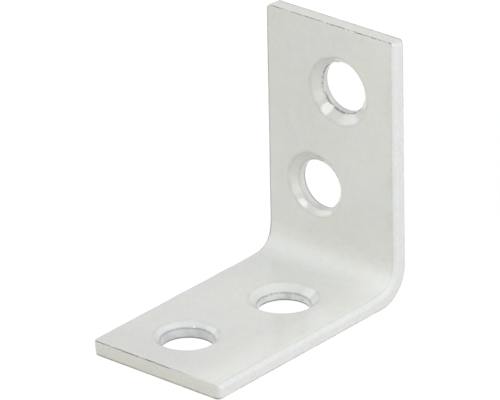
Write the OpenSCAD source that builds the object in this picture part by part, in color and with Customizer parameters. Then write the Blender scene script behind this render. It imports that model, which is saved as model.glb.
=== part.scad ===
// Angle bracket: one strip of sheet steel, folded once, with two countersunk
// screw holes in each leg. X runs along the base leg, away from the fold, Y runs
// across the strip and Z up the wall leg. The origin is at the middle of the
// footprint, on the surface that the base leg lies on. The outer faces are at
// the bottom and at the lowest X, and the screws go in from the inner faces.

/* [Strip] */
// Length of the base leg, from the outer corner
base_leg = 25.5; // [24.5:0.5:80]
// Length of the wall leg, from the outer corner
wall_leg = 25; // [24.5:0.5:80]
// Width of the strip
strip_w = 14.5; // [13:0.1:30]
// Thickness of the sheet
sheet_t = 1.5; // [1.2:0.1:1.8]
// Inside radius of the fold
fold_r = 1.9; // [0.8:0.1:2.2]

/* [Screw holes] */
// Diameter of the bores
hole_d = 4.75; // [3:0.05:5.5]
// Full angle of the countersinks
sink_angle = 90; // [82:1:100]
// Width of the soft rim round each countersink
rim_w = 0.16; // [0.05:0.01:0.3]
// Fall of the soft rim over its width
rim_drop = 0.06; // [0.02:0.01:0.1]

/* [Base leg holes] */
// Centre of the base leg's outer hole, from the free end
base_end_gap = 5.7; // [4.5:0.05:6.5]
// Centre of the base leg's inner hole, from the outer corner
base_fold_gap = 8.95; // [8.2:0.05:9.5]
// Shift of the outer hole off the centre line
base_outer_shift = -1.25; // [-2:0.05:2]
// Shift of the inner hole off the centre line
base_inner_shift = 0.55; // [-2:0.05:2]
// Depth of the outer hole's countersink
base_outer_sink = 0.5; // [0.4:0.05:0.9]
// Depth of the inner hole's countersink
base_inner_sink = 0.75; // [0.4:0.05:0.9]

/* [Wall leg holes] */
// Centre of the wall leg's upper hole, from the free end
wall_end_gap = 6.15; // [4.5:0.05:6.5]
// Centre of the wall leg's lower hole, from the outer corner
wall_fold_gap = 8.7; // [8.2:0.05:9.5]
// Shift of the upper hole off the centre line
wall_upper_shift = 0.9; // [-2:0.05:2]
// Shift of the lower hole off the centre line
wall_lower_shift = -1.85; // [-2:0.05:2]
// Depth of the upper hole's countersink
wall_upper_sink = 0.9; // [0.4:0.05:0.9]
// Depth of the lower hole's countersink
wall_lower_sink = 0.7; // [0.4:0.05:0.9]

/* [Edges] */
// Round on the outer face's long edges
outer_round = 0.35; // [0.1:0.05:0.5]
// Round on the inner face's long edges
inner_round = 0.3; // [0.1:0.05:0.4]
// Width of the shallow roll beside each inner long edge
roll_w = 0.4; // [0.2:0.05:1]
// Fall of that roll
roll_drop = 0.05; // [0.02:0.01:0.12]
// Round on the corners of the free ends, seen square to the leg
corner_round = 0.5; // [0.2:0.05:1.5]
// Round where each end meets the outer face
end_round = 0.2; // [0.1:0.05:0.4]

/* [Hidden] */
$fn = 96;
// How far a cutter runs past the faces it cuts
past = 1;
// Facets on each small edge round
round_facets = 4;
half_w = strip_w / 2;
outer_r = fold_r + sheet_t;
hole_r = hole_d / 2;

// Points of an arc in a plane, from one angle to another
function arc(centre, r, from, to) =
    [for (i = [0:round_facets])
        let (a = from + (to - from) * i / round_facets) centre + r * [cos(a), sin(a)]];

// Right half of the strip's section, from the outer face round to the inner one:
// the first number is across the strip, the second is height in the sheet
edge_top = sheet_t - roll_drop;
right_half = concat(
    arc([half_w - outer_round, outer_round], outer_round, -90, 0),
    arc([half_w - inner_round, edge_top - inner_round], inner_round, 0, 90 - roll_slope()),
    [[half_w - inner_round - roll_w, sheet_t]]);
function roll_slope() = atan(roll_drop / roll_w);
section = concat(right_half, [for (i = [len(right_half) - 1:-1:0]) [-right_half[i].x, right_half[i].y]]);

// One straight leg's length of strip, from the fold to the free end
module straight(length) {
    linear_extrude(height = length) polygon(section);
}

// The quarter turn between the legs
module fold() {
    translate([outer_r, 0, outer_r]) rotate([90, 180, 0])
        rotate_extrude(angle = 90) polygon([for (p = section) [outer_r - p.y, p.x]]);
}

// The strip, folded, with square ends
module strip() {
    translate([outer_r, 0, 0]) rotate([90, 0, 90]) straight(base_leg - outer_r);
    fold();
    translate([0, 0, outer_r]) rotate([0, 0, -90]) straight(wall_leg - outer_r);
}

// What is trimmed off a free end. The leg lies flat along X, its outer face at the
// bottom and its end at X = length. The rounds meet the faces at a slight angle,
// as sheared ones do.
module end_trim(length) {
    corner_in = corner_round * 0.95;
    round_in = end_round * 0.95;
    for (side = [-1, 1])
        translate([length - corner_in, side * (half_w - corner_in), -past]) difference() {
            translate([0, side > 0 ? 0 : -corner_in - past, 0])
                cube([corner_in + past, corner_in + past, sheet_t + 2 * past]);
            translate([0, 0, -past]) cylinder(r = corner_round, h = sheet_t + 4 * past);
        }
    translate([length - round_in, -half_w - past, round_in]) difference() {
        translate([0, 0, -round_in - past]) cube([round_in + past, strip_w + 2 * past, round_in + past]);
        translate([0, -past, 0]) rotate([-90, 0, 0]) cylinder(r = end_round, h = strip_w + 4 * past);
    }
}

// A countersunk hole's cutter, standing on the outer face, with its cone upwards
module screw_hole(sink_depth) {
    cone_r = hole_r + (sink_depth - rim_drop) * tan(sink_angle / 2);
    rotate_extrude() polygon([
        [0, -past],
        [hole_r, -past],
        [hole_r, sheet_t - sink_depth],
        [cone_r, sheet_t - rim_drop],
        [cone_r + rim_w, sheet_t],
        [cone_r + rim_w, sheet_t + past],
        [0, sheet_t + past]]);
}

// Everything cut from one leg, which lies flat along X from the outer corner
module leg_cuts(length, end_gap, fold_gap, end_shift, fold_shift, end_sink, fold_sink) {
    end_trim(length);
    translate([length - end_gap, end_shift, 0]) screw_hole(end_sink);
    translate([fold_gap, fold_shift, 0]) screw_hole(fold_sink);
}

module bracket() {
    color([0.83, 0.83, 0.81]) translate([-base_leg / 2, 0, 0]) difference() {
        strip();
        leg_cuts(base_leg, base_end_gap, base_fold_gap,
            base_outer_shift, base_inner_shift, base_outer_sink, base_inner_sink);
        // Mirroring X and Z into each other stands the second leg up
        mirror([1, 0, -1]) leg_cuts(wall_leg, wall_end_gap, wall_fold_gap,
            wall_upper_shift, wall_lower_shift, wall_upper_sink, wall_lower_sink);
    }
}

bracket();
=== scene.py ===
import math
from collections import namedtuple
from types import SimpleNamespace

import bmesh
import bpy
import numpy as np
from mathutils import Matrix, Vector, geometry, noise


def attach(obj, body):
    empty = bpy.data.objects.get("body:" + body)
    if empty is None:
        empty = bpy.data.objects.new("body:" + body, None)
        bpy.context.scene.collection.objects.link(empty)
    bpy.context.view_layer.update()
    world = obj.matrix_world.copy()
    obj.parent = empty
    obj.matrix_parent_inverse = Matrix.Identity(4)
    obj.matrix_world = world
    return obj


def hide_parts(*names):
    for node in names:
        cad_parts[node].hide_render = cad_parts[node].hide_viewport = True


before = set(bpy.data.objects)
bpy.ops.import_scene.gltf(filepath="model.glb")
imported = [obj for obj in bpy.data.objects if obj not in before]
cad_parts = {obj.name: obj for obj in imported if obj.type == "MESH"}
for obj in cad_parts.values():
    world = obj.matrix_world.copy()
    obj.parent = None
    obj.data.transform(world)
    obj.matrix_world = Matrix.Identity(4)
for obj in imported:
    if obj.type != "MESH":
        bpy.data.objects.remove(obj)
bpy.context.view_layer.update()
MM = 0.001
QUARTER = math.pi / 2

# Sizes in mm, as in the part
BASE_LEG, WALL_LEG, STRIP_W, SHEET = 25.5, 25.0, 14.5, 1.5
FOLD_R = 1.9
OUTER_R = FOLD_R + SHEET
HALF_W = STRIP_W / 2
BORE_R = 2.375
CORNER_R = 0.5
OUTER_ROUND, END_ROUND = 0.35, 0.2
# Half of a countersink's angle, at which a cone widens by as much as it is deep
HALF_CONE = math.pi / 4

# The inner face's rounds in mm, where the part has 0.3 on both long edges, and the shallow roll beside each
NEAR_ROUND, FAR_ROUND = 0.45, 0.17
ROLL_W, ROLL_DROP, ROLL_CURVE = 0.4, 0.04, 1.8
END_INNER_ROUND, END_ROLL_W, END_ROLL_DROP = 0.07, 0.12, 0.01
# A hole's small rounds in mm: where the cone meets the face and the bore, and where the bore leaves the sheet
RIM_ROUND, CONE_ROUND, EXIT_ROUND = 0.18, 0.08, 0.10
# How far the fold's curve takes to come in, in mm either side of where the part's starts
FOLD_EASE = 1.0
# The lower part of a cut face is torn, from this height in mm
TORN_TOP = SHEET * 0.62
# The near edge's fall in mm, its width and depth, and what is added to them along the middle of the base leg
FALL_W, FALL_DEPTH = 0.75, 0.035
WIDE_FALL_W, WIDE_FALL_DEPTH = 0.85, 0.075

# Each hole's place along its leg from the outer corner and across the strip, its countersink depth, how far
# the cone is off the bore, how far the hole leans at the inner face, and how uneven its bore's rim is.
# The wall leg's countersinks are a little shallower than the part's.
Hole = namedtuple("Hole", "leg along across depth offset lean burr")
HOLES = [
    Hole("base", BASE_LEG - 5.7, -1.25, 0.50, (0.05, -0.05), (0.0, 0.0), 0.03),
    Hole("base", 8.95, 0.55, 0.75, (0.0, 0.03), (0.0, -0.03), 0.03),
    Hole("wall", WALL_LEG - 6.15, 0.90, 0.80, (0.03, -0.02), (0.05, 0.03), 0.08),
    Hole("wall", 8.7, -1.85, 0.66, (-0.26, -0.06), (0.0, 0.0), 0.03),
]

# Flat strip coordinates: s runs from the wall leg's end (lowest) through the fold, -FOLD_S to 0, to the base
# leg's end; y across; h from the outer face, 0, to the inner one, SHEET
FOLD_S = QUARTER * (FOLD_R + OUTER_R) / 2
S_LOW = -FOLD_S - (WALL_LEG - OUTER_R)
S_HIGH = BASE_LEG - OUTER_R
S_MID, S_HALF = (S_LOW + S_HIGH) / 2, (S_HIGH - S_LOW) / 2

# The mesh, in mm: steps between points, and how far the close rows of the fold run on beside it
LONG_STEP, END_STEP, FOLD_STEP = 0.3, 0.25, 0.14
FLAT_STEP_S, FLAT_STEP_Y = 0.4, 0.3
FOLD_MARGIN = 1.3
# How many steps a corner, an edge's round and roll, a hole's circle and its three small rounds have
CORNER_STEPS, ROUND_STEPS, ROLL_STEPS, HOLE_STEPS = 12, 8, 6, 112
RIM_STEPS, CONE_STEPS, EXIT_STEPS = 6, 3, 4
# How far the flats' outermost rings lie from the strip's edge, and from a cone or a bore
INNER_INSET, OUTER_INSET = 1.25, 0.95
CONE_MARGIN, BORE_MARGIN = 0.95, 0.9
# How far a ring lies beside the inner roll, the outer round, a hole's rim and its exit
ROLL_LIP, OUTER_LIP, RIM_LIP, EXIT_LIP = 0.15, 0.12, 0.12, 0.1
# How far the points on the flats keep from the rings at the edge and at a hole
EDGE_GAP, HOLE_GAP = 0.3, 0.2
# The corners' radius falls by this much of the inset, down to the least one
CORNER_FALL, CORNER_LEAST = 0.75, 0.25

# What the material reads at each point: signed distances in mm from the crease at the inner face and the
# round at the outer one, and from a hole's rim, its cone's lower edge and its exit
DISTANCES = ("crease", "foot", "sink", "bore", "exit")
# far from all of them
FAR_OFF = 9.0
# and turn, which is 1 on the long edges and 0 on the ends, and changes between them round the corners
MARKS = DISTANCES + ("turn",)

# Colours, linear
ALBEDO = (0.722, 0.729, 0.691, 1)
YELLOWISH = (0.724, 0.726, 0.665, 1)
BLUISH = (0.722, 0.736, 0.722, 1)
# the base leg's cooler tone: painted light, the cool light that the upward-facing leg gets
BASE_PAINTED_LIGHT = (0.722, 0.734, 0.716, 1)
# the cut sides' paler, cooler tone: painted light from the side
SIDE_PAINTED_LIGHT = (0.738, 0.745, 0.730, 1)
# painted highlight on the rounded edges
ROUND_HIGHLIGHT = (0.735, 0.752, 0.752, 1)
# the cut face's own warm tone, made darker by painted shade
END_TONE_AND_SHADE = (0.682, 0.676, 0.610, 1)
# the cut face's own warm tone, made lighter by painted light
TOP_TONE_AND_LIGHT = (0.765, 0.758, 0.720, 1)
# painted reflection in the cones
CONE_REFLECTION = (0.735, 0.757, 0.755, 1)
BORE_TINT = (0.63, 0.65, 0.66, 1)
STAIN = (0.56, 0.47, 0.33, 1)
DARK_EDGE = (0.115, 0.120, 0.120, 1)
BLUE_EDGE = (0.190, 0.220, 0.250, 1)
BROWN_EDGE = (0.170, 0.138, 0.100, 1)
WHITE = (1, 1, 1, 1)
FLOOR_COLOUR = (0.8, 0.8, 0.8, 1)
FLOOR_SHADE = (0.12, 0.12, 0.12, 1)
# How bright the floor glows where it is seen, and the world as light on the part
FLOOR_GLOW, ROOM_LIGHT = 0.93, 0.40

# Camera: angles in degrees, distance and shifts in mm from a point in the bracket, and the focal length in
# pixels of a picture 500 wide
AZIMUTH, ELEVATION, ROLL = 130.669, 25.392, -1.15
DISTANCE, SHIFT_RIGHT, SHIFT_UP = 545.884, -2.751, 2.072
FOCAL_PX, PICTURE_W, SENSOR_W = 6235.4125, 500, 36


# The strip
def bend(s, y, h):
    """Strip coordinates to the part's own, in mm."""
    a = np.clip(-s / FOLD_S, 0, 1) * QUARTER
    rho = OUTER_R - h
    x = np.where(s > 0, OUTER_R + s, OUTER_R - rho * np.sin(a))
    z = np.where(s < -FOLD_S, OUTER_R + (-FOLD_S - s), OUTER_R - rho * np.cos(a))
    return np.stack([x - BASE_LEG / 2, y, z], -1)


def leg_s(leg, along):
    """A place along a leg, from the outer corner, as s."""
    return along - OUTER_R if leg == "base" else -FOLD_S - (along - OUTER_R)


def swell(points, size, seed):
    """Smooth noise from 0 to 1 at 2D points in mm; size is that of its features."""
    values = [noise.noise(Vector((p[0] / size, p[1] / size, seed * 7.31))) for p in points]
    return np.clip([0.5 + 0.8 * v for v in values], 0, 1)


def beside(distance, width):
    """1 on a line, falling to 0 beside it."""
    return np.exp(-(distance / width) ** 2)


def spaced(lo, hi, step):
    return np.linspace(lo, hi, max(1, int(round((hi - lo) / step))) + 1)


def along_strip(lo, hi, step):
    """Places from lo to hi, closer together in the fold and beside it."""
    return np.concatenate([spaced(lo, -FOLD_S - FOLD_MARGIN, step)[:-1],
                           spaced(-FOLD_S - FOLD_MARGIN, FOLD_MARGIN, FOLD_STEP)[:-1],
                           spaced(FOLD_MARGIN, hi, step)])


def lengths_along(points):
    """How far each point is along the line through all of them."""
    return np.concatenate([[0], np.cumsum(np.hypot(*np.diff(points, axis=0).T))])


# The mesh
class Shell:
    """Points, with their marks, and faces of the bracket in strip coordinates."""
    def __init__(self):
        self.columns = {name: [] for name in ("s", "y", "h") + MARKS}
        self.faces = []
        self.count = 0

    def add(self, s, y, h, **marks):
        """Adds points and returns their numbers."""
        s = np.asarray(s, float)
        values = dict({name: -FAR_OFF for name in DISTANCES}, s=s, y=y, h=h, turn=1.0)
        values.update(marks)
        for name, column in self.columns.items():
            column.append(np.broadcast_to(np.asarray(values[name], float), s.shape).copy())
        self.count += len(s)
        return np.arange(self.count - len(s), self.count)

    def bridge(self, a, b):
        """Quads between two closed rings of equal length."""
        for i in range(len(a)):
            j = (i + 1) % len(a)
            self.faces.append((a[i], a[j], b[j], b[i]))

    def column(self, name):
        return np.concatenate(self.columns[name])


def outline(inset):
    """The strip's outline, set in: points (s, y), and how much each is a long edge's (1) or an end's (0)."""
    r = max(CORNER_R - CORNER_FALL * inset, CORNER_LEAST)
    corner_s, corner_y = S_HALF - inset - r, HALF_W - inset - r
    stations = along_strip(S_LOW + CORNER_R, S_HIGH - CORNER_R, LONG_STEP)
    long_s = S_MID + (stations - S_MID) * (corner_s / (S_HALF - CORNER_R))
    end_y = spaced(-HALF_W + CORNER_R, HALF_W - CORNER_R, END_STEP) * (corner_y / (HALF_W - CORNER_R))
    points, long = [], []

    def end(side, places):
        edge = S_MID + side * S_HALF
        points.extend((edge - side * inset, y) for y in places)
        long.extend([0.0] * len(places))

    def long_edge(side, places):
        points.extend((s, side * (HALF_W - inset)) for s in places)
        long.extend([1.0] * len(places))

    def corner(side_s, side_y, start):
        for i in range(1, CORNER_STEPS):
            a = start + QUARTER * i / CORNER_STEPS
            points.append((S_MID + side_s * corner_s + r * math.cos(a), side_y * corner_y + r * math.sin(a)))
            long.append(math.sin(a) ** 2)

    end(1, end_y)
    corner(1, 1, 0)
    long_edge(1, long_s[::-1])
    corner(-1, 1, QUARTER)
    end(-1, end_y[::-1])
    corner(-1, -1, 2 * QUARTER)
    long_edge(-1, long_s)
    corner(1, -1, 3 * QUARTER)
    return np.array(points), np.array(long)


def edge_profile(roll_w, drop, inner_round, outer_round, crease_at_round):
    """An edge's section from the inner face to the outer one: points of inset and height, and how far each
    is past the crease and past the middle of the outer round. The crease is where the inner round starts if
    crease_at_round is true, and else its middle."""
    points = [(INNER_INSET, SHEET), (inner_round + roll_w + ROLL_LIP, SHEET)]
    for t in np.linspace(0, 1, ROLL_STEPS + 1)[:-1]:
        points.append((inner_round + roll_w * (1 - t), SHEET - drop * t ** ROLL_CURVE))
    crease = len(points) + (0 if crease_at_round else ROUND_STEPS // 2)
    turns = np.linspace(QUARTER - math.atan(drop * ROLL_CURVE / roll_w), 0, ROUND_STEPS + 1)
    for a in turns:
        fall = inner_round * (math.sin(turns[0]) - math.sin(a))
        points.append((inner_round * (1 - math.cos(a)), SHEET - drop - fall))
    top = points[-1][1]
    for t in (0.12, 0.3, 0.5, 0.7, 0.88):
        points.append((0.0, top + (outer_round - top) * t))
    foot = len(points) + ROUND_STEPS // 2
    for a in np.linspace(0, QUARTER, ROUND_STEPS + 1):
        points.append((outer_round * (1 - math.cos(a)), outer_round * (1 - math.sin(a))))
    points += [(outer_round + OUTER_LIP, 0.0), (OUTER_INSET, 0.0)]
    run = lengths_along(points)
    return np.array(points), run - run[crease], run - run[foot]


def add_edges(shell):
    """The edges all the way round, as rings. Returns the ring on the inner face and the one on the outer."""
    sections = [edge_profile(ROLL_W, ROLL_DROP, NEAR_ROUND, OUTER_ROUND, True),
                edge_profile(ROLL_W, ROLL_DROP, FAR_ROUND, OUTER_ROUND, True),
                edge_profile(END_ROLL_W, END_ROLL_DROP, END_INNER_ROUND, END_ROUND, False)]
    start, long = outline(INNER_INSET)
    small = 0.01
    inward = (outline(INNER_INSET + small)[0] - start) / small
    is_near = start[:, 1] > 0
    shape, fine = swell(start, 1.7, 1), swell(start, 0.9, 2)

    def blend(near, far, end):
        return np.where(is_near, near, far) * long + end * (1 - long)

    rings = []
    for k in range(len(sections[0][0])):
        lines = [outline(points[k, 0])[0] for points, _, _ in sections]
        at = np.stack([blend(*(line[:, i] for line in lines)) for i in (0, 1)], -1)
        h = blend(*(points[k, 1] for points, _, _ in sections))
        crease = blend(*(past_crease[k] for _, past_crease, _ in sections))
        foot = blend(*(past_foot[k] for _, _, past_foot in sections))
        # an uneven cut: the torn lower part lies back a little, and the fall at the inner edge varies
        torn = np.clip((TORN_TOP - h) / 0.35, 0, 1) * np.clip(-foot / 0.15, 0, 1)
        inset = np.where(crease > -0.1, 0.007 * fine + 0.012 * shape, 0) + torn * (0.018 + 0.02 * shape)
        at = at + inward * (inset * np.clip(1 - foot / 0.4, 0, 1))[:, None]
        h = h - beside(crease, 0.35) * 0.025 * shape * long - beside(crease, 0.15) * 0.012 * fine
        rings.append(shell.add(at[:, 0], at[:, 1], h, crease=crease, foot=foot, turn=long))
        if k > 0:
            shell.bridge(rings[k - 1], rings[k])
    return rings[0], rings[-1]


def hole_profile(depth):
    """A hole's section from the inner face to the outer one: radius, height, and 1 past the cone. Then how
    far each point is past the middle of the rim's round, past the cone's lower edge and past the exit."""
    bevel = math.tan(HALF_CONE / 2)
    cone_top_r = BORE_R + depth
    flat_r = cone_top_r + RIM_ROUND * bevel
    bore_top = SHEET - depth - CONE_ROUND * bevel
    points = [(cone_top_r + CONE_MARGIN, SHEET, 0), (flat_r + RIM_LIP, SHEET, 0)]
    rim_at = len(points) + RIM_STEPS // 2
    for a in np.linspace(0, HALF_CONE, RIM_STEPS + 1):
        points.append((flat_r - RIM_ROUND * math.sin(a), SHEET - RIM_ROUND * (1 - math.cos(a)), 0))
    rim_r, rim_h, _ = points[-1]
    edge_r = BORE_R + CONE_ROUND * (1 - math.cos(HALF_CONE))
    edge_h = bore_top + CONE_ROUND * math.sin(HALF_CONE)
    for t in (0.2, 0.4, 0.6, 0.8):
        points.append((rim_r + (edge_r - rim_r) * t, rim_h + (edge_h - rim_h) * t, 0))
    bore_at = len(points) + 1
    for a in np.linspace(HALF_CONE, 0, CONE_STEPS + 1):
        points.append((BORE_R + CONE_ROUND * (1 - math.cos(a)), bore_top + CONE_ROUND * math.sin(a), 1))
    for t in (0.2, 0.45, 0.7, 0.9):
        points.append((BORE_R, bore_top * (1 - t) + EXIT_ROUND * t, 1))
    exit_at = len(points) + 1
    for a in np.linspace(0, QUARTER, EXIT_STEPS + 1):
        points.append((BORE_R + EXIT_ROUND * (1 - math.cos(a)), EXIT_ROUND * (1 - math.sin(a)), 1))
    points += [(BORE_R + EXIT_ROUND + EXIT_LIP, 0.0, 1), (BORE_R + BORE_MARGIN, 0.0, 1)]
    points = np.array(points)
    run = lengths_along(points[:, :2])
    return points, run - run[rim_at], run - run[bore_at], run - run[exit_at]


def add_hole(shell, number, hole):
    """One hole, as rings. Returns its ring on the inner face and on the outer one, with centre and radius."""
    points, past_rim, past_bore, past_exit = hole_profile(hole.depth)
    centre_s, centre_y = leg_s(hole.leg, hole.along), hole.across
    circle = np.linspace(0, 2 * math.pi, HOLE_STEPS + 1)[:-1]
    # the unevenness is read round a circle of about the bore's radius in mm
    around = np.stack([np.cos(circle), np.sin(circle)], -1) * 2.4
    rough = swell(around, 0.55, 10 + number) - 0.5
    slow = swell(around, 2.6, 20 + number) - 0.5
    last = len(points) - 1
    rings = []
    for k, (r, h, in_bore) in enumerate(points):
        rim, bore = past_rim[k], past_bore[k]
        uneven_r = r + 0.05 * slow * beside(rim, 0.5) + hole.burr * rough * beside(bore, 0.12)
        uneven_h = h - 0.02 * (slow + 0.5) * beside(rim, 0.25)
        # the cone's shift and the hole's lean leave the rings that the flats are filled from where they are
        shift = (1 - in_bore) * min(1, max(0, -bore / 0.2)) * (k > 0)
        tilt = (2 * h / SHEET - 1) * (0 < k < last)
        s = centre_s + hole.offset[0] * shift + hole.lean[0] * tilt + uneven_r * np.cos(circle)
        y = centre_y + hole.offset[1] * shift + hole.lean[1] * tilt + uneven_r * np.sin(circle)
        rings.append(shell.add(s, y, uneven_h, sink=rim, bore=bore, exit=past_exit[k]))
        if k > 0:
            shell.bridge(rings[k], rings[k - 1])
    return (rings[0], centre_s, centre_y, points[0][0]), (rings[last], centre_s, centre_y, points[last][0])


def fill(shell, edge, holes, inset, h, **marks):
    """Triangles for the flat between the outline's ring and the holes' rings."""
    rows_s = along_strip(S_LOW + inset + EDGE_GAP, S_HIGH - inset - EDGE_GAP, FLAT_STEP_S)
    rows_y = spaced(-HALF_W + inset + EDGE_GAP, HALF_W - inset - EDGE_GAP, FLAT_STEP_Y)
    s, y = [v.ravel() for v in np.meshgrid(rows_s, rows_y, indexing="ij")]
    keep = np.ones(len(s), bool)
    for _, centre_s, centre_y, r in holes:
        keep &= np.hypot(s - centre_s, y - centre_y) > r + HOLE_GAP
    inside = shell.add(s[keep], y[keep], h, **marks)
    ids, edges = [], []
    for ring in [edge] + [hole[0] for hole in holes]:
        edges += [(len(ids) + i, len(ids) + (i + 1) % len(ring)) for i in range(len(ring))]
        ids += list(ring)
    ids += list(inside)
    # the straight sides bulge a little for the triangulation alone, so that no slivers form outside them
    bulge = 0.002
    all_s, all_y = shell.column("s"), shell.column("y")
    across, along = all_y / HALF_W, (all_s - S_MID) / S_HALF
    flat_s = S_MID + S_HALF * along * (1 + bulge * (1 - across ** 2))
    flat_y = HALF_W * across * (1 + bulge * (1 - along ** 2))
    places = [Vector((flat_s[i], flat_y[i])) for i in ids]
    _, _, faces, sources, _, _ = geometry.delaunay_2d_cdt(places, edges, [], 1, 1e-6, True)
    back = [ids[source[0]] for source in sources]
    for face in faces:
        corners = [back[i] for i in face]
        mid_s, mid_y = all_s[corners].mean(), all_y[corners].mean()
        if all(math.hypot(mid_s - centre_s, mid_y - centre_y) > r for _, centre_s, centre_y, r in holes):
            shell.faces.append(tuple(corners))


def ease(into):
    """How far the inner face rises where the fold's curve comes in gradually, at the distance s into it."""
    # t is the distance along the inner face, which is shorter than s in the fold. The curvature grows evenly
    # from none to the fold's own as t goes from -FOLD_EASE to FOLD_EASE.
    rise_at_start = FOLD_EASE ** 2 / (12 * FOLD_R)
    t = np.where(into > 0, into * QUARTER * (FOLD_R - rise_at_start) / FOLD_S, into)
    t = np.clip(t, -FOLD_EASE, FOLD_EASE)
    return (FOLD_EASE + t) ** 3 / (12 * FOLD_EASE * FOLD_R) - np.maximum(t, 0) ** 2 / (2 * FOLD_R)


def shaped(s, y, h):
    """Heights with the fold's gradual start and end, the near edge's fall and the faces' swells."""
    h = h + (ease(-s) + ease(s + FOLD_S) - ease(FAR_OFF)) * h / SHEET
    # the near edge falls away further in from it along the middle of the base leg than elsewhere
    wide = np.clip((s - 0.5) / 2, 0, 1) * np.clip((14.5 - s) / 3, 0, 1)
    fall_w = FALL_W + WIDE_FALL_W * wide
    into_fall = np.clip((y - HALF_W + fall_w) / fall_w, 0, 1)
    h = h - (FALL_DEPTH + WIDE_FALL_DEPTH * wide) * into_fall ** 2 * np.clip((h - 0.4) / 0.7, 0, 1)
    # the faces aren't quite flat: slow swells, always into the sheet, and none where the fold starts and ends
    inner, outer = np.clip((h - (SHEET - 0.3)) / 0.2, 0, 1), np.clip((0.02 - h) / 0.02, 0, 1)
    wave = 0.010 * swell(np.stack([s, y], -1), 3.2, 4) + 0.004 * swell(np.stack([s, y * 1.6], -1), 1.3, 5)
    calm = np.clip(abs(s), 0, 1) ** 2 * np.clip(abs(s + FOLD_S), 0, 1) ** 2
    return h + wave * calm * (outer - inner)


def make_bracket():
    """The bracket, one closed mesh that stands for the part's solid."""
    shell = Shell()
    inner_edge, outer_edge = add_edges(shell)
    inner_holes, outer_holes = zip(*(add_hole(shell, n, hole) for n, hole in enumerate(HOLES)))
    fill(shell, inner_edge, inner_holes, INNER_INSET, SHEET, crease=-2.0, sink=-2.0)
    fill(shell, outer_edge, outer_holes, OUTER_INSET, 0.0, foot=2.0, exit=2.0)
    s, y, h = (shell.column(name) for name in "syh")
    mesh = bpy.data.meshes.new("angle_bracket")
    places = bend(s, y, shaped(s, y, h)) * MM
    mesh.from_pydata(places.tolist(), [], [tuple(int(i) for i in face) for face in shell.faces])
    mesh.validate()
    work = bmesh.new()
    work.from_mesh(mesh)
    bmesh.ops.recalc_face_normals(work, faces=work.faces)
    work.to_mesh(mesh)
    work.free()
    for name in MARKS:
        values = shell.column(name).astype(np.float32)
        mesh.attributes.new(name, "FLOAT", "POINT").data.foreach_set("value", values)
    mesh.shade_smooth()
    bracket = bpy.data.objects.new("angle_bracket", mesh)
    bpy.context.scene.collection.objects.link(bracket)
    return bracket


# Materials
class Graph:
    """Shorthand for building nodes. A value is a number, a colour or another node's output."""
    def __init__(self, owner):
        owner.use_nodes = True
        self.tree = owner.node_tree
        self.tree.nodes.clear()

    def put(self, socket, value):
        if isinstance(value, bpy.types.NodeSocket):
            self.tree.links.new(value, socket)
        else:
            socket.default_value = value

    def node(self, kind, **inputs):
        n = self.tree.nodes.new(kind)
        for name, value in inputs.items():
            self.put(n.inputs[name.replace("_", " ")], value)
        return n

    def calc(self, operation, *values):
        n = self.node("ShaderNodeMath")
        n.operation = operation
        for i, value in enumerate(values):
            self.put(n.inputs[i], value)
        return n.outputs[0]

    def chain(self, operation, values):
        """All the values in one sum or product, or whatever the operation makes of two."""
        total = values[0]
        for value in values[1:]:
            total = self.calc(operation, total, value)
        return total

    def add(self, *values):
        return self.chain("ADD", values)

    def mul(self, *values):
        return self.chain("MULTIPLY", values)

    def sub(self, a, b):
        return self.calc("SUBTRACT", a, b)

    def ramp(self, value, lo, hi, to_lo=0.0, to_hi=1.0):
        """value from lo..hi to to_lo..to_hi, smoothly and held at both ends."""
        n = self.node("ShaderNodeMapRange")
        n.interpolation_type = "SMOOTHSTEP"
        for i, v in enumerate((value, lo, hi, to_lo, to_hi)):
            self.put(n.inputs[i], v)
        return n.outputs[0]

    def line(self, distance, width):
        """1 on a marked line, falling to 0 beside it."""
        x = self.calc("DIVIDE", distance, width)
        return self.calc("EXPONENT", self.mul(x, x, -1.0))

    def noise(self, place, scale, detail, rough, distort=0.0, stretch=(1, 1, 1), move=(0, 0, 0)):
        """Noise from 0 to 1; scale is how many of its features there are in a millimetre."""
        moved = self.node("ShaderNodeMapping", Vector=place, Scale=stretch, Location=move).outputs[0]
        n = self.node("ShaderNodeTexNoise", Vector=moved, Scale=scale, Detail=detail, Roughness=rough,
                      Distortion=distort)
        return n.outputs["Fac"]

    def mix(self, amount, a, b):
        n = self.node("ShaderNodeMix")
        n.data_type = "RGBA"
        for i, v in ((0, amount), (6, a), (7, b)):
            self.put(n.inputs[i], v)
        return n.outputs[2]

    def layers(self, colour, *layers):
        """The colour with others laid over it in turn, each as (amount, colour)."""
        for amount, over in layers:
            colour = self.mix(amount, colour, over)
        return colour

    def times(self, colour, factor):
        n = self.node("ShaderNodeVectorMath")
        n.operation = "SCALE"
        self.put(n.inputs[0], colour)
        self.put(n.inputs["Scale"], factor)
        return n.outputs[0]

    def seen(self):
        """1 for what the camera, a reflection or clear material sees, and 0 for light on the part."""
        rays = self.node("ShaderNodeLightPath").outputs
        kinds = ("Is Camera Ray", "Is Glossy Ray", "Is Transmission Ray")
        return self.chain("MAXIMUM", [rays[kind] for kind in kinds])


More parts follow.
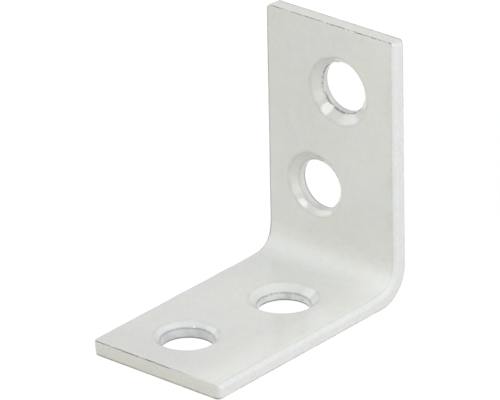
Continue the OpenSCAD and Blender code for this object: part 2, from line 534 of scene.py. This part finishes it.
class Steel(Graph):
    """The coated steel: its noise from 0 to 1, the marks at each point, and where each kind of surface is."""
    def __init__(self, owner):
        super().__init__(owner)
        coords = self.node("ShaderNodeTexCoord").outputs["Object"]
        self.place = self.node("ShaderNodeMapping", Vector=coords, Scale=(1000, 1000, 1000)).outputs[0]
        self.x, self.y, self.z = self.node("ShaderNodeSeparateXYZ", Vector=self.place).outputs
        self.mark = SimpleNamespace(**{name: self.read_mark(name) for name in MARKS})
        self.make_noise()
        self.find_surfaces()

    def read_mark(self, name):
        n = self.node("ShaderNodeAttribute")
        n.attribute_name = name
        return n.outputs["Fac"]

    def make_noise(self):
        self.patch = self.noise(self.place, 0.30, 2, 0.5, 0.3)
        self.patch_b = self.noise(self.place, 0.48, 3, 0.55, 0.2, move=(31, 17, 5))
        self.blotch = self.noise(self.place, 1.15, 3, 0.6, 0.4, move=(5, 23, 11))
        self.streak = self.noise(self.place, 1.0, 3, 0.6, stretch=(0.5, 1.3, 0.5))
        self.grain = self.noise(self.place, 4.2, 3, 0.7)
        self.speck = self.noise(self.place, 2.4, 1, 0.5, move=(2, 41, 13))
        self.dash = self.noise(self.place, 0.9, 4, 0.65, move=(3, 9, 40))
        self.nick = self.noise(self.place, 2.6, 2, 0.6, move=(11, 2, 7))

    def find_surfaces(self):
        """Each is 1 on its own surface and 0 elsewhere, by the place or the marks of a point, in mm."""
        mark = self.mark
        self.on_base = self.ramp(self.z, 3.6, 1.4)
        self.on_wall = self.sub(1.0, self.on_base)
        self.on_fold = self.mul(self.ramp(self.x, -7.8, -11.0), self.ramp(self.z, 5.4, 2.0))
        self.low_hole = self.mul(self.ramp(self.z, 5.0, 6.0), self.ramp(self.z, 13.5, 12.5))
        self.far_side = self.ramp(self.y, -6.2, -6.8)
        self.near_side = self.ramp(self.y, 6.0, 6.6)
        self.flat = self.ramp(mark.crease, 0.0, -0.1)
        self.cut = self.mul(self.ramp(mark.crease, 0.0, 0.12), self.ramp(mark.foot, 0.0, -0.15))
        self.end = self.mul(self.cut, self.sub(1.0, mark.turn))
        self.cone = self.mul(self.ramp(mark.sink, 0.0, 0.1), self.ramp(mark.bore, 0.0, -0.05))
        self.bore = self.mul(self.ramp(mark.bore, 0.0, 0.05), self.ramp(mark.exit, 0.0, -0.05))

    def by_leg(self, wall, base):
        """One value on the wall leg and another on the base leg."""
        return self.ramp(self.on_base, 0, 1, wall, base)

    def by_edge(self, end, long):
        """One value on the ends and another on the long edges."""
        return self.ramp(self.mark.turn, 0, 1, end, long)

    def coat(self):
        """Warm and cool patches, and the tints of the base leg, the cut faces, the cones and the bores. The
        base leg's cooler tint, the cut sides' paler one and the rounded edges' pale one are painted light.
        The ends' tints are their own warm tone, made darker by painted shade on the base leg's end and
        lighter by painted light on the wall leg's end. The cones' pale tint and a cool one by the fold are
        painted reflection.
        """
        mark = self.mark
        # painted reflection: a cool tint on the base leg beside the fold, more towards the far edge
        painted_reflection_by_fold = self.mul(self.on_base, self.ramp(self.x, -5.0, -8.0), self.ramp(self.y, 5.0, -1.0, 0.0, 0.8))
        stain = self.mul(self.line(self.add(mark.crease, 0.35), 0.30), self.near_side,
                         self.ramp(self.patch_b, 0.45, 0.6, 0.0, 0.12), self.on_wall)
        # painted light: the cut sides of the long edges paler and cooler, as lit from the side
        side = self.mul(self.cut, mark.turn, 0.85)
        # painted highlight: a pale line on the rounds of the long edges, where they catch the light
        painted_edge_highlight = self.mul(self.line(self.sub(mark.crease, 0.25), 0.25), mark.turn, 0.8)
        # the base leg's end: the cut face's own warm tone, made darker by painted shade, less of it towards
        # the near side
        base_end_tone_and_shade = self.mul(self.end, self.on_base, self.ramp(self.y, 2.0, 7.0, 0.9, 0.6))
        # painted reflection: the cones paler and cooler, little on the wall leg and most in the base leg's
        # cones towards its end
        cone = self.mul(self.cone, self.by_leg(0.2, self.ramp(self.x, -2.0, 3.0, 0.45, 0.9)))
        return self.layers(
            YELLOWISH,
            (self.ramp(self.patch, 0.34, 0.66), ALBEDO),
            # the base leg takes more of the cool patches and its cooler tint: painted light on the
            # upward-facing leg
            (self.ramp(self.patch_b, 0.45, 0.72, 0.0, self.by_leg(0.25, 0.5)), BLUISH),
            (self.mul(self.on_base, 0.6), BASE_PAINTED_LIGHT),
            (painted_reflection_by_fold, BLUISH),
            (stain, STAIN),
            (side, SIDE_PAINTED_LIGHT),
            (painted_edge_highlight, ROUND_HIGHLIGHT),
            (base_end_tone_and_shade, END_TONE_AND_SHADE),
            # the wall leg's end: the cut face's warm tone, made lighter by painted light on the upward-facing
            # face
            (self.mul(self.end, self.on_wall), TOP_TONE_AND_LIGHT),
            (cone, CONE_REFLECTION),
            (self.mul(self.bore, self.ramp(self.blotch, 0.35, 0.6, 0.9, 0.2)), BORE_TINT))

    def level(self):
        """Brightness: light and dark mottling, and slow changes over each leg: painted light on the fold,
        along the base leg's near edge and on the near edge's round, painted shade on the wall leg's upper far
        part and the base leg's end, and lighter bore walls in the base leg, partly painted highlight.
        """
        crease, turn = self.mark.crease, self.mark.turn
        # painted shade: the wall leg darker towards its upper far part
        painted_shade_upper_far = self.mul(self.ramp(self.z, 5.0, 17.0), self.ramp(self.y, 6.0, -4.0), self.flat)
        base_flat = self.mul(self.on_base, self.flat)
        # painted light: the base leg lighter along its near edge, more towards its end
        painted_light_near_band = self.mul(base_flat, self.ramp(self.y, 3.0, 6.2),
                             self.ramp(self.x, 4.0, 9.5, 0.095, 0.125))
        # the base leg's bore walls lighter in blotches, more in the hole nearer the fold: partly burnished
        # walls, partly painted highlight
        base_bores_burnish_and_highlight = self.mul(self.bore, self.on_base, self.ramp(self.x, 3.0, -2.0, 0.02, 0.12),
                              self.ramp(self.blotch, 0.4, 0.6))
        # painted shade: the base leg darker at its end, towards the far side
        painted_shade_front = self.mul(base_flat, self.ramp(self.x, 7.5, 10.5), self.ramp(self.y, 3.2, 1.0))
        # painted highlight: a lighter line on the near long edge's round
        painted_highlight_near_edge = self.mul(self.line(self.sub(crease, 0.10), 0.13), self.near_side, turn)
        return self.add(
            self.ramp(self.streak, 0.3, 0.7, 0.995, 1.005),
            self.ramp(self.grain, 0.3, 0.7, -0.017, 0.017),
            self.ramp(self.patch_b, 0.35, 0.65, 0.007, -0.007),
            self.ramp(self.blotch, 0.35, 0.65, -0.010, 0.010),
            self.mul(painted_shade_upper_far, -0.055),
            # painted light: the fold lighter
            self.mul(self.on_fold, self.flat, 0.060),
            painted_light_near_band,
            base_bores_burnish_and_highlight,
            self.mul(painted_shade_front, -0.045),
            self.ramp(self.speck, 0.62, 0.74, 0.0, -0.035),
            self.mul(painted_highlight_near_edge, 0.07))

    def with_edge_lines(self, colour):
        """The colour with dark lines on the edges and in the holes, most of them broken up by noise, and a
        painted highlight as a pale rim on the base leg's end. The far long edge's line is partly painted
        shade."""
        mark = self.mark
        on_end = self.ramp(mark.turn, 0.3, 0.0)
        wander = self.ramp(self.nick, 0.3, 0.7, -0.03, 0.03)
        end_line = self.mul(
            self.line(self.add(mark.crease, -0.01, wander), self.by_leg(0.050, 0.058)), on_end,
            self.ramp(self.dash, 0.40, 0.56, self.by_leg(0.12, 0.5), 0.92),
            self.sub(1.0, self.mul(self.on_base, self.ramp(self.y, 0.5, 4.8))))
        # painted highlight: a pale line just inside the base leg's end, along its top edge
        end_rim_highlight = self.mul(self.line(self.add(mark.crease, 0.16), 0.10), on_end, self.on_base, 0.7)
        near_line = self.mul(
            self.line(self.add(mark.crease, 0.05), 0.08), self.near_side,
            self.ramp(self.nick, 0.35, 0.65, 0.03, 0.15), self.by_leg(1.0, 0.5))
        # the far long edge's dark brown line: partly worn coating, partly painted shade on the edge turned
        # away from the lamps
        far_line_wear_and_shade = self.mul(
            self.line(self.sub(mark.crease, 0.06), 0.10), self.far_side,
            self.ramp(self.dash, 0.35, 0.62, 0.70, 1.0), mark.turn, self.by_leg(1.0, 0.35))
        foot_line = self.mul(
            self.line(self.add(mark.foot, 0.06), 0.12),
            self.ramp(self.dash, 0.40, 0.6, self.by_edge(0.45, 0.05), self.by_edge(0.75, 0.45)))
        bore_line = self.mul(
            self.line(mark.bore, 0.10),
            self.ramp(self.nick, 0.37, 0.54, self.by_leg(0.20, 0.35), self.by_leg(0.95, 0.6)),
            self.sub(1.0, self.mul(self.low_hole, 0.75)))
        exit_line = self.mul(
            self.line(self.add(mark.exit, 0.01), 0.09),
            self.by_leg(self.ramp(self.low_hole, 0, 1, 0.45, 0.95), 0.85))
        sink_line = self.mul(self.line(mark.sink, 0.16), self.ramp(self.dash, 0.35, 0.65, 0.05, 0.16))
        return self.layers(
            colour,
            (end_rim_highlight, ROUND_HIGHLIGHT),
            (near_line, BLUE_EDGE),
            (far_line_wear_and_shade, BROWN_EDGE),
            (foot_line, BROWN_EDGE),
            (end_line, DARK_EDGE),
            (bore_line, BLUE_EDGE),
            (exit_line, BROWN_EDGE),
            (sink_line, BROWN_EDGE))

    def roughness(self):
        """A satin gloss, rougher in the fold and on the cut faces and smoother in the cones."""
        return self.add(
            self.ramp(self.patch_b, 0.3, 0.7, 0.11, 0.15),
            self.ramp(self.grain, 0.3, 0.7, -0.01, 0.015),
            self.mul(self.cone, -0.06),
            self.mul(self.on_fold, 0.34),
            self.mul(self.cut, 0.15))

    def relief(self):
        """A faint orange peel, and shear marks across the ends' cut faces."""
        peel = self.noise(self.place, 1.3, 2, 0.5)
        shear = self.noise(self.place, 1.0, 2, 0.6, stretch=(4.5, 0.4, 4.5))
        height = self.add(peel, self.mul(self.grain, 0.06), self.mul(self.end, shear, 0.8))
        return self.node("ShaderNodeBump", Strength=0.09, Distance=0.02 * MM, Height=height).outputs[0]


def steel_material():
    material = bpy.data.materials.new("coated_steel")
    steel = Steel(material)
    colour = steel.with_edge_lines(steel.times(steel.coat(), steel.level()))
    shader = steel.node("ShaderNodeBsdfPrincipled", Base_Color=colour, Roughness=steel.roughness(),
                        Normal=steel.relief())
    steel.node("ShaderNodeOutputMaterial", Surface=shader.outputs[0])
    return material


# Floor, world, lamps and camera
def mix_shaders(graph, output, amount, plain, seen):
    """Ends a graph in two shaders: plain for light on the part, and seen for what is seen."""
    n = graph.node("ShaderNodeMixShader")
    for i, value in enumerate((amount, plain, seen)):
        graph.put(n.inputs[i], value)
    graph.node(output, Surface=n.outputs[0])


def add_floor():
    """A floor that looks white but keeps the part's shadow."""
    bpy.ops.mesh.primitive_plane_add(size=4, location=(0, 0, -0.02 * MM))
    floor = bpy.context.object
    floor.name = "floor"
    material = bpy.data.materials.new("floor")
    graph = Graph(material)
    plain = graph.node("ShaderNodeBsdfDiffuse", Color=FLOOR_COLOUR)
    shade = graph.node("ShaderNodeBsdfDiffuse", Color=FLOOR_SHADE)
    glow = graph.node("ShaderNodeEmission", Color=WHITE, Strength=FLOOR_GLOW)
    both = graph.node("ShaderNodeAddShader")
    graph.put(both.inputs[0], shade.outputs[0])
    graph.put(both.inputs[1], glow.outputs[0])
    mix_shaders(graph, "ShaderNodeOutputMaterial", graph.seen(), plain.outputs[0], both.outputs[0])
    floor.data.materials.append(material)


def add_world():
    """White where it is seen, and plain for the light on the part."""
    world = bpy.data.worlds.new("studio")
    bpy.context.scene.world = world
    graph = Graph(world)
    room = graph.node("ShaderNodeBackground", Color=WHITE, Strength=ROOM_LIGHT)
    white = graph.node("ShaderNodeBackground", Color=WHITE, Strength=1.0)
    mix_shaders(graph, "ShaderNodeOutputWorld", graph.seen(), room.outputs[0], white.outputs[0])


def softbox(name, direction, distance, size, radiance):
    """A square lamp, facing the part. Distance and size are in metres, and radiance is its brightness as
    seen, 1 being white."""
    direction = Vector(direction).normalized()
    lamp = bpy.data.lights.new(name, "AREA")
    lamp.shape = "RECTANGLE"
    lamp.size = lamp.size_y = size
    lamp.energy = radiance * math.pi * size * size
    holder = bpy.data.objects.new(name, lamp)
    bpy.context.scene.collection.objects.link(holder)
    holder.location = direction * distance + Vector((0, 0, 8 * MM))
    holder.rotation_euler = direction.to_track_quat("Z", "Y").to_euler()


def add_camera():
    """The photograph's view."""
    az, el, roll = (math.radians(v) for v in (AZIMUTH, ELEVATION, ROLL))
    back = Vector((math.sin(az) * math.cos(el), -math.cos(az) * math.cos(el), math.sin(el)))
    right = Vector((math.cos(az), math.sin(az), 0))
    up = back.cross(right)
    axis_x = right * math.cos(roll) + up * math.sin(roll)
    axis_y = up * math.cos(roll) - right * math.sin(roll)
    focus = Vector((WALL_LEG / 3 - BASE_LEG / 2, 0, WALL_LEG / 3))
    place = (focus + back * DISTANCE + right * SHIFT_RIGHT + up * SHIFT_UP) * MM
    lens = bpy.data.cameras.new("camera")
    lens.sensor_fit = "HORIZONTAL"
    lens.sensor_width = SENSOR_W
    lens.lens = FOCAL_PX * SENSOR_W / PICTURE_W
    lens.clip_start, lens.clip_end = 0.01, 10
    camera = bpy.data.objects.new("camera", lens)
    bpy.context.scene.collection.objects.link(camera)
    camera.matrix_world = Matrix.Translation(place) @ Matrix((axis_x, axis_y, back)).transposed().to_4x4()
    bpy.context.scene.camera = camera


# The scene
bracket = make_bracket()
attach(bracket, "root")
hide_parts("bracket")
bracket.data.materials.append(steel_material())

add_floor()
add_world()
softbox("lamp_key", (0.69, 0.19, 0.70), 0.5, 0.2, 5.0)
softbox("lamp_side", (-0.3, 0.9, 0.35), 0.5, 0.35, 2.5)
softbox("lamp_right", (0.6, 0.85, 0.15), 0.5, 0.35, 1.2)
softbox("lamp_left", (0.35, -0.9, 0.4), 0.5, 0.35, 1.6)
softbox("lamp_top", (0, 0, 1), 0.6, 0.4, 0.8)
add_camera()
bpy.context.scene.view_settings.view_transform = "Standard"
